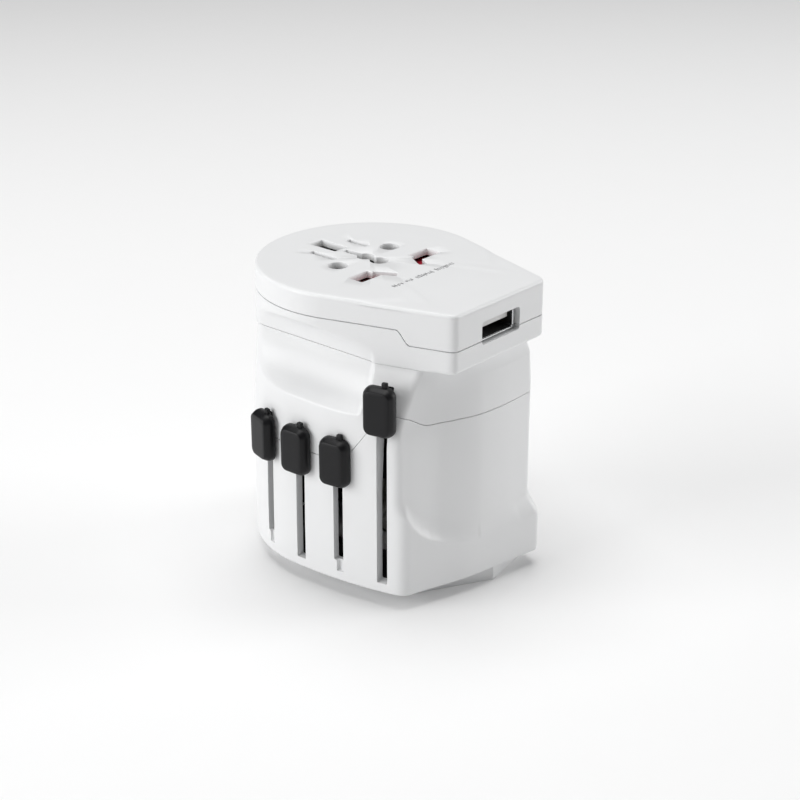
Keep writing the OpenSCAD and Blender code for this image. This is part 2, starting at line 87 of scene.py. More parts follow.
def strips(rings, cols, closed=False):
    """Quads between neighbouring rings of cols points; closed joins the last ring to the first."""
    faces = []
    for j in range(rings if closed else rings - 1):
        j2 = (j + 1) % rings
        for i in range(cols):
            i2 = (i + 1) % cols
            faces.append((j * cols + i, j * cols + i2, j2 * cols + i2, j2 * cols + i))
    return faces


def stacked(name, levels, smooth_angle=35):
    """Closed skin over matching outlines, with flat ends."""
    cols = len(levels[0])
    faces = strips(len(levels), cols)
    faces.append(tuple(range(cols))[::-1])
    faces.append(tuple(range((len(levels) - 1) * cols, len(levels) * cols)))
    return new_object(name, [p for level in levels for p in level], faces, smooth_angle)


def tidy_mesh(obj, smooth_angle=35):
    """Consistent normals, smooth faces and sharp edges above an angle."""
    bm = bmesh.new()
    bm.from_mesh(obj.data)
    bmesh.ops.recalc_face_normals(bm, faces=bm.faces)
    limit = math.radians(smooth_angle)
    for e in bm.edges:
        e.smooth = len(e.link_faces) != 2 or e.calc_face_angle(0) < limit
    for f in bm.faces:
        f.smooth = True
    bm.to_mesh(obj.data)
    bm.free()


def apply_modifiers(obj):
    """Bakes the modifiers of an object into its mesh."""
    dg = bpy.context.evaluated_depsgraph_get()
    mesh = bpy.data.meshes.new_from_object(obj.evaluated_get(dg))
    obj.modifiers.clear()
    obj.data = mesh


def cut(obj, cutters):
    """Subtracts each cutter from a shell and removes the cutters."""
    for c in cutters:
        mod = obj.modifiers.new("cut", "BOOLEAN")
        mod.operation = "DIFFERENCE"
        mod.solver = "EXACT"
        mod.object = c
    apply_modifiers(obj)
    for c in cutters:
        bpy.data.objects.remove(c)
    tidy_mesh(obj, CROWN)


def smoothstep(x):
    x = np.clip(x, 0, 1)
    return x * x * (3 - 2 * x)


def smin(a, b, k):
    """Smaller of two distances with a rounded changeover k wide."""
    h = np.maximum(k - np.abs(a - b), 0) / k
    return np.minimum(a, b) - h * h * k / 4


# ---------------------------------------------------------------- outlines
# Every outline is a distance from the axis as a function of direction t.

def plane(t, angle, dist):
    """Distance to a wall whose outward normal has that angle."""
    c = np.cos(t - np.radians(angle))
    return np.where(c > 0.05, dist / np.maximum(c, 0.05), FAR)


def arc(t, cx, cy, r):
    """Distance to a circle that holds the axis."""
    dx, dy = cx, cy - AXIS_Y
    b = np.cos(t) * dx + np.sin(t) * dy
    return b + np.sqrt(np.maximum(r * r - dx * dx - dy * dy + b * b, 0))


def scallop(t, cx, cy, r):
    """Distance to the near side of an upright cylinder that bites into the wall."""
    dx, dy = cx, cy - AXIS_Y
    b = np.cos(t) * dx + np.sin(t) * dy
    disc = b * b - (dx * dx + dy * dy - r * r)
    return np.where((disc > 0) & (b > 0), b - np.sqrt(np.maximum(disc, 0)), FAR)


def tangent_angle(nx, ny, nr, rc):
    """Angle of the wall that touches both the round part and the nose corner."""
    dx, dy = nx, ny - AXIS_Y
    d = np.hypot(dx, dy)
    return np.degrees(np.arccos((rc - nr) / d) + np.arctan2(dy, dx))


def front_half(t):
    """Directions measured from -90 degrees, rising towards the right-hand side."""
    return (t + np.pi / 2 + np.pi) % (2 * np.pi) - np.pi


def head_r(t):
    """Outline of the head: a circle with a nose."""
    sides = smin(plane(t, -NOSE_TURN, HEAD_R), plane(t, 180 + NOSE_TURN, HEAD_R), 2.0)
    nose = smin(sides, plane(t, -90, 41.0), 2.2)
    s = np.degrees(front_half(t))
    return np.where(np.abs(s) < 90 - NOSE_TURN, nose, HEAD_R)


def lower_outline(t, rc):
    """Outline of the body near the base, round a circle of radius rc."""
    a = tangent_angle(14.42, -41.89, 2.6, rc)
    side = arc(t, SIDE_X, AXIS_Y, SIDE_R)
    front = smin(plane(t, 252.2, 38.89), plane(t, 260.5, 39.15), 0.5)
    r = smin(smin(side, front, 2.3), plane(t, a, rc), 2.4)
    s = np.degrees(front_half(t))
    return np.where((s > -90) & (s < 90 + a), r, rc)


def upper_outline(t, z, rc):
    """Outline of the body higher up, where the finger scoop narrows the nose."""
    nx = np.interp(z, [50, 57.5, 61.8], [14.2, 13.9, 12.9])
    ny = np.interp(z, [50, 57.5, 61.8], [-39.6, -39.3, -38.5])
    a = tangent_angle(nx, ny, 2.4, rc)
    side = arc(t, SIDE_X, AXIS_Y, SIDE_R)
    front = smin(plane(t, 252.4, 38.85), plane(t, 272, -ny + 2.4 + AXIS_Y), 4.0)
    scoop = scallop(t, -41.8, -91.3, 60.5)
    x = np.cos(t) * np.minimum(scoop, 50)
    scoop = scoop + 1.1 * smoothstep((-14 - x) / 8) * (1 - smoothstep((z - 42) / 8))
    front = smin(front, scoop, 3.6)
    r = smin(smin(side, front, 1.6), plane(t, a, rc), 3.2)
    s = np.degrees(front_half(t))
    return np.where((s > -90) & (s < 90 + a), r, rc)


def ring_r(z):
    """Radius of the round part, which narrows towards the head."""
    return np.interp(z, [4, 17, 40, 54, 59, 61.8], [30.2, 30.15, 29.8, 28.95, 28.5, 28.15])


def flare_cut(t, z):
    """The corner in front of the dish leans in towards the head."""
    d = np.interp(z, [40, 44, 47, 51, 57, 61.8, 64], [35.4, 34.2, 33.3, 31.9, 30.1, 28.25, 27.5])
    return np.where(z > 40, plane(t, 180 + NOSE_TURN, d), FAR)


def dish_x(z):
    """X of the thumb dish's surface at a height, or far outside it."""
    h = z - DISH_Z
    surface = DISH_X + np.sqrt(np.maximum(DISH_R ** 2 - h * h, 0))
    return np.where(np.abs(h) < DISH_R, surface, -FAR)


def dish_cut(t, z, r):
    """Distance to the thumb dish, which lies between two Y limits."""
    c, s = np.cos(t), np.sin(t)
    y = AXIS_Y + r * s
    x = dish_x(z) - 7 * smoothstep((-23.2 - y) / 2.4)
    hit = np.where((c < -0.05) & (x > -900), x / np.minimum(c, -0.05), FAR)
    return np.where((y < 24) & (y > -26), hit, FAR)


def dished(t, z, r):
    """A radius with the thumb dish taken out of it."""
    dish = dish_cut(t, z, r)
    return np.where(dish < r + 1.2, smin(r, dish, 1.2), r)


def body_r(t, z):
    """Outer surface of both body shells."""
    rc = ring_r(z)
    low = lower_outline(t, rc)
    up = upper_outline(t, z, rc)
    x = np.cos(t) * low
    edge = np.interp(x, [-24.5, -22.6, -20.5, -18, -15, -11, -8, 0, 10, 16],
                     [25.5, 22, 19.6, 17.6, 16.2, 15, 14.4, 13.6, 13.4, 14])
    rise = np.interp(x, [-24, -10, 0, 15], [4.5, 4.5, 6, 7])
    s = np.clip((z - edge) / rise, 0, 1)
    f = np.where(x < -4, 1 - (1 - s) ** 2.2, smoothstep(s))
    r = low + (np.minimum(up, low) - low) * f
    # the slider face takes up the round part's narrowing gradually
    turn = np.degrees(front_half(t)) + 90
    r = r - np.where(turn > 0.01, 1 - smoothstep(turn / 38), 0) * (BASE_R - rc)
    y = AXIS_Y + np.sin(t) * r
    start = np.interp(z, [49, 54], [-25.0, -20.5])
    corner = (y < start) & (np.cos(t) < 0)
    lean = flare_cut(t, z) + 3 * (1 - smoothstep((start - y) / 3.5))
    r = np.where(corner, smin(r, lean, 1.0), r)
    return dished(t, z, r)


def head_side_r(t, z):
    """Outer surface of the tray and the cover."""
    return dished(t, z, head_r(t))


# ---------------------------------------------------------------- shells

def corner_wall(t):
    """Extra wall, as a share, round the corner that holds the fourth slot."""
    s = np.degrees(front_half(t))
    return smoothstep((s + 54) / 6) * (1 - smoothstep((s + 40) / 6))


def border(edge, n=5):
    """Depth below a rim and inset from the surface along a rounded edge."""
    a = np.linspace(0, np.pi / 2, n)
    return list(zip(edge * (1 - np.cos(a)), edge * (1 - np.sin(a))))


def directions():
    """One direction for each column, from straight ahead of the nose."""
    return np.linspace(-np.pi / 2, 1.5 * np.pi, COLS, endpoint=False)


def ring_points(rings, t):
    """Points of the rings given as (height, radius)."""
    return [p for z, r in rings for p in zip(r * np.cos(t), AXIS_Y + r * np.sin(t), z)]


def shell(name, r_fn, z_lo, z_hi, rows, edge_lo, edge_hi, inner, mats):
    """Closed ring: outer skin between two rims, then an inner path of (height, how, amount) rows,
    where the amount is an inset from the outer skin or a share of its radius."""
    t = directions()
    a, b = z_lo(t), z_hi(t)
    loops = []
    if callable(edge_lo):
        edge_lo = edge_lo(t)
    for d, ins in border(1.0):
        loops.append((a + d * edge_lo, ins * edge_lo * np.ones_like(t)))
    for k in range(1, rows):
        f = k / rows
        loops.append((a + edge_lo + f * (b - a - edge_lo - edge_hi), np.zeros_like(t)))
    for d, ins in reversed(border(edge_hi)):
        loops.append((b - d, np.full_like(t, ins)))
    rings = [(z, r_fn(t, z) - ins) for z, ins in loops]
    outer = len(rings)
    for z, how, amount in inner:
        zz = z(t) if callable(z) else np.full_like(t, z)
        base = r_fn(t, np.clip(zz, a + edge_lo, b - edge_hi))
        inset = base - amount - CORNER_WALL * corner_wall(t)
        rings.append((zz, inset if how == "inset" else base * amount))
    obj = new_object(name, ring_points(rings, t), strips(len(rings), COLS, closed=True), CROWN)
    for m in mats:
        obj.data.materials.append(m)
    # The inner path's faces take the second material, which paints shade on the inside of the white shell.
    if len(mats) > 1:
        first_inner = outer * COLS
        for f in obj.data.polygons:
            if min(f.vertices) >= first_inner:
                f.material_index = 1
    return obj


def capped(name, r_fn, top_z, split, rows, edge_lo, edge_top, mat):
    """The cover: side wall, rounded top edge, top face and a hollow underside."""
    t = directions()
    a = split(t)
    rings = []
    for d, ins in border(edge_lo):
        rings.append((a + d, r_fn(t, a + d) - ins))
    for k in range(1, rows):
        z = a + edge_lo + k / rows * (top_z - edge_top - a - edge_lo)
        rings.append((z, r_fn(t, z)))
    for d, ins in reversed(border(edge_top, 8)):
        rings.append((np.full_like(t, top_z) - d, r_fn(t, a + edge_lo) - ins))
    rim = r_fn(t, a + edge_lo)
    for share in (0.93, 0.9, 0.87, 0.84, 0.81, 0.7, 0.5, 0.3, 0.1):
        rings.append((np.full_like(t, top_z), rim * share))
    under = top_z - COVER_T
    for share in (0.1, 0.5, 0.8):
        rings.append((np.full_like(t, under), rim * share))
    rings.append((np.full_like(t, under), rim - WALL))
    rings.append((a, rim - WALL))
    n_top = len(rings) - 5
    verts = ring_points(rings, t)
    faces = strips(len(rings), COLS, closed=True)
    # no strip joins the top face to the underside: a fan closes each of them
    del faces[(n_top - 1) * COLS:n_top * COLS]
    verts.append((0, AXIS_Y, top_z))
    verts.append((0, AXIS_Y, under))
    for k, j in ((len(verts) - 2, n_top - 1), (len(verts) - 1, n_top)):
        for i in range(COLS):
            faces.append((k, j * COLS + i, j * COLS + (i + 1) % COLS))
    verts = np.array(verts)
    # the face dips a little outside the round part, towards the nose
    rho = np.hypot(verts[:, 0], verts[:, 1] - AXIS_Y)
    dip = 0.3 * smoothstep((rho - 28.9) / 2.2)
    top = verts[:, 2] > under + 0.5
    verts[:, 2] -= np.where(top & (verts[:, 2] > top_z - edge_top - 0.01), dip, 0)
    obj = new_object(name, verts, faces, CROWN)
    obj.data.materials.append(mat)
    return obj


def split_line(t):
    """Height of the joint between cover and tray."""
    y = AXIS_Y + head_r(t) * np.sin(t)
    return 67.6 + 3.5 * smoothstep((y + 32.6) / 3.4)


def mid_line(t):
    """Height of the joint between the two body shells."""
    r = body_r(t, np.full_like(t, 42.0))
    x, y = r * np.cos(t), AXIS_Y + r * np.sin(t)
    side = MID_Z + 14.2 * smoothstep((-16.2 - y) / 15.5)
    front = 47.4 + 3.2 * smoothstep((-17 - x) / 8)
    right = MID_Z + 10.8 * smoothstep((-17.5 - y) / 15.5)
    return np.where(y > -16, MID_Z, np.where(x < 0, np.minimum(side, front), right))


def tray_edge(t):
    """Roundness of the tray's lower edge, which is larger under the nose."""
    return 0.3 + 0.8 * smoothstep((-35 - AXIS_Y - head_r(t) * np.sin(t)) / 5)


# ---------------------------------------------------------------- cutters

def prism(name, outline, z0, z1, mouth=0.0):
    """Upright cutter with an outline in X and Y; it opens by mouth over its last 0.3 mm."""
    pts = np.asarray(outline, float)
    area = 0.5 * np.sum(pts[:, 0] * np.roll(pts[:, 1], -1) - np.roll(pts[:, 0], -1) * pts[:, 1])
    if area < 0:
        pts = pts[::-1]
    d1 = pts - np.roll(pts, 1, 0)
    d2 = np.roll(pts, -1, 0) - pts
    n1 = np.stack([d1[:, 1], -d1[:, 0]], 1) / np.linalg.norm(d1, axis=1)[:, None]
    n2 = np.stack([d2[:, 1], -d2[:, 0]], 1) / np.linalg.norm(d2, axis=1)[:, None]
    n = n1 + n2
    n /= np.maximum(np.linalg.norm(n, axis=1)[:, None], 1e-6)
    levels = [(z0, 0.0), (z1, 0.0)]
    if mouth:
        levels = [(z0, 0.0), (TOP_FACE - mouth, 0.0), (TOP_FACE + 0.001, mouth), (z1, mouth + 0.05)]
    return stacked(name, [[(p[0], p[1], z) for p in pts + n * grow] for z, grow in levels])


def rounded_rect(cx, cy, w, h, r, angle=0.0, n=6):
    """Outline of a rectangle with round corners, turned about its centre."""
    pts = []
    for sx, sy, a0 in ((1, 1, 0), (-1, 1, 90), (-1, -1, 180), (1, -1, 270)):
        for k in range(n + 1):
            a = math.radians(a0 + 90 * k / n)
            pts.append((sx * (w / 2 - r) + r * math.cos(a), sy * (h / 2 - r) + r * math.sin(a)))
    c, s = math.cos(math.radians(angle)), math.sin(math.radians(angle))
    return [(cx + x * c - y * s, cy + x * s + y * c) for x, y in pts]


def circle_pts(cx, cy, r, n=48):
    turns = [2 * math.pi * k / n for k in range(n)]
    return [(cx + r * math.cos(a), cy + r * math.sin(a)) for a in turns]


def turned(obj, matrix):
    """Moves an object's vertices by a matrix given in mm."""
    m = Matrix(matrix)
    m.translation = m.translation * MM
    obj.data.transform(m)
    return obj


LOWEST_SLOT = 6.6
SLIDERS = [
    # p: surface point, a: outward direction in degrees, top: nub top, low and slot: ends of the slot
    dict(p=(-29.13, 6.05), a=164.0, top=44.3, low=9.6, slot=42.9),
    dict(p=(-30.2, -5.5), a=181.67, top=44.3, low=LOWEST_SLOT, slot=42.9),
    dict(p=(-29.2, -17.3), a=187.84, top=44.3, low=9.6, slot=42.9),
    dict(p=(-26.8, -29.4), a=194.26, top=60.2, low=LOWEST_SLOT, slot=57.3),
]


def at_slider(s):
    """Matrix in mm of a slider's own frame, with X pointing out of the slider face."""
    return Matrix.Translation((s["p"][0], s["p"][1], 0)) @ Matrix.Rotation(math.radians(s["a"]), 4, "Z")


def slot_cutters():
    """Upright cutters for the four slots, in the slider face's own frames."""
    made = []
    for s in SLIDERS:
        c = box_mesh("slot", (-9, 5), (-1.4, 1.4), (s["low"], s["slot"]), 0.35)
        made.append(turned(c, at_slider(s)))
        if s["low"] > LOWEST_SLOT:
            g = box_mesh("groove", (-0.9, 5), (-0.6, 1.4), (LOWEST_SLOT, s["low"] + 1), 0.3)
            made.append(turned(g, at_slider(s)))
    return made


def box_mesh(name, xs, ys, zs, r, segments=3):
    """Box with all its edges rounded."""
    bm = bmesh.new()
    bmesh.ops.create_cube(bm, size=1)
    for v in bm.verts:
        v.co = Vector([span[0] if c < 0 else span[1] for c, span in zip(v.co, (xs, ys, zs))]) * MM
    bmesh.ops.bevel(bm, geom=list(bm.edges), offset=r * MM, segments=segments, profile=0.5,
                    affect="EDGES", clamp_overlap=True)
    mesh = bpy.data.meshes.new(name)
    bm.to_mesh(mesh)
    bm.free()
    obj = linked(name, mesh)
    tidy_mesh(obj)
    return obj


# ---------------------------------------------------------------- materials

def material(name, color, roughness, metallic=0.0, specular=0.5, bump=0.0, bump_scale=900.0,
             mottle=0.03, mottle_scale=60.0, rough_var=0.06, edge=0.0, brushed=None):
    """Procedural material: faintly mottled colour, uneven gloss, fine grain and softened edges."""
    mat = bpy.data.materials.new(name)
    mat.use_nodes = True
    nt = mat.node_tree
    nodes, links = nt.nodes, nt.links
    bsdf = nodes["Principled BSDF"]
    bsdf.inputs["Metallic"].default_value = metallic
    bsdf.inputs["Specular IOR Level"].default_value = specular
    coords = nodes.new("ShaderNodeTexCoord")
    place = nodes.new("ShaderNodeMapping")
    links.new(coords.outputs["Object"], place.inputs["Vector"])
    if brushed:
        place.inputs["Scale"].default_value = brushed
    # colour
    tone = nodes.new("ShaderNodeTexNoise")
    tone.inputs["Scale"].default_value = mottle_scale
    tone.inputs["Detail"].default_value = 4
    links.new(place.outputs["Vector"], tone.inputs["Vector"])
    ramp = nodes.new("ShaderNodeMix")
    ramp.data_type = "RGBA"
    dark = [c * (1 - mottle) for c in color]
    light = [min(1, c * (1 + mottle)) for c in color]
    ramp.inputs[6].default_value = (*dark, 1)
    ramp.inputs[7].default_value = (*light, 1)
    links.new(tone.outputs["Fac"], ramp.inputs[0])
    links.new(ramp.outputs[2], bsdf.inputs["Base Color"])
    # gloss
    gloss = nodes.new("ShaderNodeTexNoise")
    gloss.inputs["Scale"].default_value = 140.0
    gloss.inputs["Detail"].default_value = 6
    links.new(place.outputs["Vector"], gloss.inputs["Vector"])
    span = nodes.new("ShaderNodeMapRange")
    span.inputs["To Min"].default_value = max(0.02, roughness - rough_var)
    span.inputs["To Max"].default_value = roughness + rough_var
    links.new(gloss.outputs["Fac"], span.inputs["Value"])
    links.new(span.outputs["Result"], bsdf.inputs["Roughness"])
    # grain
    normal = None
    if edge:
        bev = nodes.new("ShaderNodeBevel")
        bev.samples = 4
        bev.inputs["Radius"].default_value = edge * MM
        normal = bev.outputs["Normal"]
    if bump:
        grain = nodes.new("ShaderNodeTexNoise")
        grain.inputs["Scale"].default_value = bump_scale
        grain.inputs["Detail"].default_value = 3
        links.new(place.outputs["Vector"], grain.inputs["Vector"])
        relief = nodes.new("ShaderNodeBump")
        relief.inputs["Strength"].default_value = bump
        relief.inputs["Distance"].default_value = 0.00003
        links.new(grain.outputs["Fac"], relief.inputs["Height"])
        if normal:
            links.new(normal, relief.inputs["Normal"])
        normal = relief.outputs["Normal"]
    if normal:
        links.new(normal, bsdf.inputs["Normal"])
    return mat


OFF_WHITE = (0.80, 0.805, 0.81)
NEAR_BLACK = (0.012, 0.012, 0.013)
WHITE = material("white_plastic", OFF_WHITE, 0.36, bump=0.25, bump_scale=1600, mottle=0.008, rough_var=0.05)
COVER = material("white_cover", OFF_WHITE, 0.38, bump=0.25, bump_scale=1600, mottle=0.008, rough_var=0.05)
WHITE_EDGE = material("white_inner", (0.78, 0.785, 0.79), 0.42, bump=0.25, bump_scale=1500,
                      mottle=0.01, edge=0.3)
# Near-black on the inner faces of the white shells: painted shade for the hollow that shows through the slots
# and openings.
PAINTED_SHADE_IN = material("shell_inside_painted_shade", NEAR_BLACK, 0.8, specular=0.2, bump=0.3, mottle=0.1)
SOFT = material("soft_touch", (0.006, 0.006, 0.007), 0.38, specular=0.25, bump=0.5, bump_scale=2600,
                mottle=0.12, rough_var=0.05)
INNER = material("inner_black", NEAR_BLACK, 0.5, specular=0.3, bump=0.4, bump_scale=1200,
                 mottle=0.12, edge=0.3)
SLEEVE = material("pin_sleeve", (0.02, 0.02, 0.022), 0.45, bump=0.3, mottle=0.1, edge=0.2)
NICKEL = material("nickel_pin", (0.72, 0.71, 0.68), 0.22, metallic=1, bump=0.25, bump_scale=700,
                  mottle=0.05, brushed=(1, 1, 0.08), rough_var=0.08)
STEEL = material("steel", (0.62, 0.63, 0.65), 0.26, metallic=1, bump=0.2, mottle=0.05,
                 brushed=(1, 1, 0.1), edge=0.15)
PORT = material("port_metal", (0.78, 0.79, 0.8), 0.24, metallic=1, bump=0.2, mottle=0.04, brushed=(1, 0.1, 1))
BRASS = material("contact_brass", (0.8, 0.58, 0.25), 0.3, metallic=1, bump=0.3, mottle=0.08,
                 brushed=(1, 1, 0.15), edge=0.1)
GOLD = material("gold_contact", (0.9, 0.66, 0.3), 0.2, metallic=1, mottle=0.05, edge=0.05)
RED = material("shutter_red", (0.36, 0.012, 0.03), 0.35, bump=0.2, mottle=0.06, edge=0.25)
TONGUE = material("port_tongue", (0.72, 0.72, 0.71), 0.45, bump=0.2, mottle=0.02)
# Near-black for the port: painted shade on the sleeve's inner faces and on a block at the port's back.
PORT_PAINTED_SHADE = material("port_black", NEAR_BLACK, 0.5, bump=0.3, mottle=0.1)
BOARD = material("circuit_board", (0.02, 0.16, 0.06), 0.35, bump=0.5, bump_scale=350, mottle=0.25,
                 mottle_scale=300, edge=0.1)
COIL = material("coil_tape", (0.7, 0.5, 0.06), 0.4, bump=0.3, mottle=0.08, edge=0.3)
CAN = material("can_sleeve", (0.05, 0.06, 0.22), 0.35, bump=0.2, mottle=0.08, edge=0.3)
CHIP = material("chip_resin", (0.02, 0.02, 0.021), 0.6, bump=0.5, bump_scale=2500, mottle=0.1, edge=0.12)
INK = material("grey_ink", (0.16, 0.16, 0.165), 0.6, mottle=0.2, mottle_scale=900)


def glass():
    """Clear glass of the fuse tube."""
    mat = bpy.data.materials.new("fuse_glass")
    mat.use_nodes = True
    bsdf = mat.node_tree.nodes["Principled BSDF"]
    bsdf.inputs["Base Color"].default_value = (0.92, 0.96, 0.96, 1)
    bsdf.inputs["Roughness"].default_value = 0.05
    bsdf.inputs["Transmission Weight"].default_value = 0.95
    return mat


def dress(node, mat):
    """Gives a carried-over CAD node its finish."""
    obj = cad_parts[node]
    if not obj.material_slots:
        obj.data.materials.append(mat)
    for slot in obj.material_slots:
        slot.material = mat


def place(obj, body, node, slot, mat=None):
    """Rides a piece on a body in place of a CAD node."""
    if mat:
        obj.data.materials.clear()
        obj.data.materials.append(mat)
    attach(obj, body)
    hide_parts(*([node] if isinstance(node, str) else node))


# ---------------------------------------------------------------- shells

def flat(z):
    """A rim at one height all the way round."""
    return lambda t: np.full_like(t, z)


def below_mid(t):
    return mid_line(t) - GAP


def above_mid(t):
    return mid_line(t) + GAP


def below_split(t):
    return split_line(t) - SEAM


def above_split(t):
    return split_line(t) + SEAM


def inset_path(*heights):
    """Inner path that follows the outer skin at the wall's thickness."""
    return [(z, "inset", WALL) for z in heights]


FLOOR_TOP = 6.2
BODY_TOP = HEAD_BOTTOM - LIFT
TRAY_BOTTOM = HEAD_BOTTOM + LIFT
TRAY_FLOOR = 64.0
lower = shell("lower_body_skin", body_r, flat(BODY_BOTTOM), below_mid, 120, 0.7, 0.16,
              inset_path(below_mid, 30.0, 18.0, FLOOR_TOP)
              + [(FLOOR_TOP, "share", 0.5), (BODY_BOTTOM, "share", 0.5)],
              [WHITE, PAINTED_SHADE_IN])
upper = shell("upper_body_skin", body_r, above_mid, flat(BODY_TOP), 80, 0.16, 0.2,
              inset_path(BODY_TOP, 56.0, above_mid), [WHITE, PAINTED_SHADE_IN])
tray = shell("head_tray_skin", head_side_r, flat(TRAY_BOTTOM), below_split, 40, tray_edge, 0.16,
             inset_path(below_split, TRAY_FLOOR) + [(TRAY_FLOOR, "share", 0.6), (TRAY_BOTTOM, "share", 0.6)],
             [WHITE, PAINTED_SHADE_IN])
cover = capped("top_cover_skin", head_side_r, TOP_FACE, above_split, 30, 0.16, 0.9, COVER)

# openings for the pins in the floor, one set for each slider, each set placed by its own Y
UK, AU, US, EU = 17.3, -5.5, -16.7, -33.8
SIDES = (-1, 1)
FLOOR_CUT = (BODY_BOTTOM - 1, 7.5)
pin_holes = [rounded_rect(s * 11.11, UK, 7.4, 5.1, 0.5) for s in SIDES]
pin_holes += [rounded_rect(0, UK - 22.23, 5.1, 9.0, 0.5)]
pin_holes += [rounded_rect(s * 6.86, AU, 2.6, 7.3, 0.4, s * 30) for s in SIDES]
pin_holes += [rounded_rect(0, AU - 14.27, 2.6, 7.3, 0.4)]
pin_holes += [rounded_rect(s * 6.35, US, 2.5, 7.4, 0.4) for s in SIDES] + [circle_pts(0, US - 11.9, 2.9)]
pin_holes += [circle_pts(4.5 + s * 9.5, EU, 2.5) for s in (-1, 0, 1)]
cut(lower, slot_cutters() + [prism("pin_hole", h, *FLOOR_CUT) for h in pin_holes])
cut(upper, slot_cutters())

# the port opens through the tray and the cover
def port_cutter():
    """Cutter along Y for the mouth of the charging port."""
    across = Matrix.Translation((0, -42, PORT_Z)) @ Matrix.Rotation(math.radians(90), 4, "X")
    return turned(prism("port_cut", rounded_rect(0, 0, 14.3, 5.8, 0.9), -5, 5), across)


cut(tray, [port_cutter()])

# openings of the socket face
FACE_CUT = (TOP - 5, TOP + 1)
holes = []
for s in SIDES:
    holes.append(circle_pts(s * 9.5, 0, 2.5))
    holes.append(rounded_rect(s * 11.11, -10.2, 6.8, 4.5, 0.35))
    holes.append(rounded_rect(s * 6.45, -12.5, 2.1, 6.2, 0.3, -s * 30))
holes.append(rounded_rect(6.35, 7.8, 1.8, 6.8, 0.4))
holes.append(rounded_rect(-6.35, 7.85, 1.8, 8.5, 0.4))
holes.append(rounded_rect(0, 12.05, 4.4, 8.6, 0.35))
holes.append(rounded_rect(0, 2.9, 1.7, 7.2, 0.3))
holes.append(circle_pts(0, -0.5, 2.2))
holes.append(circle_pts(0, -5.1, 2.4))
holes.append(rounded_rect(0, -2.8, 2.4, 3.6, 0.2))
cut(cover, [port_cutter()] + [prism("hole", h, *FACE_CUT, mouth=MOUTH) for h in holes])

place(lower, "housing", "lower_body", "white_shell")
place(upper, "housing", "upper_body", "white_shell")
place(tray, "housing", "head_tray", "white_shell")
place(cover, "housing", "top_cover", "white_cover")


# ---------------------------------------------------------------- sliders

def join(name, objs):
    """Joins objects into one piece."""
    bm = bmesh.new()
    for o in objs:
        bm.from_mesh(o.data)
        bpy.data.objects.remove(o)
    mesh = bpy.data.meshes.new(name)
    bm.to_mesh(mesh)
    bm.free()
    return linked(name, mesh)


STEM_H = 14.1          # from the nub's top to the stem's foot
NUB_H = 3.0
KEY_TOP, KEY_HALF = 1.2, 6.3     # from the nub's top to the key's top, and half the key's height


def button(s, k):
    """Soft key with a chamfered front, on its stem."""
    mid = s["top"] - KEY_TOP - KEY_HALF
    levels = [
        # width, height, corner radius, distance out of the slider face
        (8.0, 12.4, 2.3, 0.2), (8.2, 12.6, 2.4, 0.45), (8.15, 12.55, 2.4, 1.2), (7.95, 12.35, 2.35, 1.75),
        (7.75, 12.15, 2.3, 1.98), (6.7, 11.1, 1.7, 2.86), (6.45, 10.85, 1.55, 3.0), (6.1, 10.5, 1.4, 3.07),
        (4.5, 8.6, 1.0, 3.09), (2.0, 4.6, 0.5, 3.1),
    ]
    outlines = [[(out, y, z) for y, z in rounded_rect(0, mid, w, h, r, n=10)] for w, h, r, out in levels]
    key = stacked("key", outlines, 60)
    stem = box_mesh("stem", (-7.5, 0.6), (-1.1, 1.1), (s["top"] - STEM_H, s["slot"] - 0.3), 0.3)
    nub = box_mesh("nub", (0.2, 1.3), (0.55, 2.05), (s["top"] - NUB_H, s["top"]), 0.35)
    return turned(join(f"slider_{k}_key", [key, stem, nub]), at_slider(s))


for k, s in enumerate(SLIDERS, 1):
    place(button(s, k), f"plug_{k}", f"slider_{k}", "slider_charcoal", SOFT)


# ---------------------------------------------------------------- pins

def blade(cx, cy, w, h, z0, z1, angle=0.0, r=0.35):
    """Flat pin with softened edges and a chamfered tip."""
    levels = []
    for z, grow in ((z0, -0.75), (z0 + 0.25, -0.4), (z0 + 1.3, 0.0), (z1, 0.0)):
        wide, deep = w + 2 * grow * min(1, w / 4), h + 2 * grow * min(1, h / 4)
        levels.append([(x, y, z) for x, y in rounded_rect(cx, cy, wide, deep, r * 0.9, angle)])
    return stacked("blade", levels)


def round_pin(cx, cy, r, z0, z1):
    """Round pin with a domed tip."""
    profile = [(z0 + r * (1 - math.cos(a)) * 0.8, max(0.05, r * math.sin(a)))
               for a in np.linspace(0.08, math.pi / 2, 9)]
    profile.append((z1, r))
    levels = [[(x, y, z) for x, y in circle_pts(cx, cy, radius, 40)] for z, radius in profile]
    return stacked("round_pin", levels)


PINS = {
    1: [blade(s * 11.11, UK, 6.35, 4.0, 2.6, 29.8) for s in SIDES]
       + [blade(0, UK - 22.23, 4.0, 8.0, 2.6, 29.8)],
    2: [blade(s * 6.86, AU, 1.6, 6.3, 6.2, 32.8, s * 30, 0.2) for s in SIDES]
       + [blade(0, AU - 14.27, 1.6, 6.3, 6.2, 32.8, 0, 0.2)],
    3: [blade(s * 6.35, US, 1.5, 6.35, 2.3, 29.8, 0, 0.2) for s in SIDES]
       + [round_pin(0, US - 11.9, 2.4, 2.3, 29.8)],
    4: [round_pin(4.5 + s * 9.5, EU, 2.0, 19.0, 47.5) for s in (-1, 0, 1)],
}
for k, parts in PINS.items():
    place(join(f"pin_set_{k}", parts), f"plug_{k}", f"pins_{k}", "pin_metal", NICKEL)


# ---------------------------------------------------------------- charging port

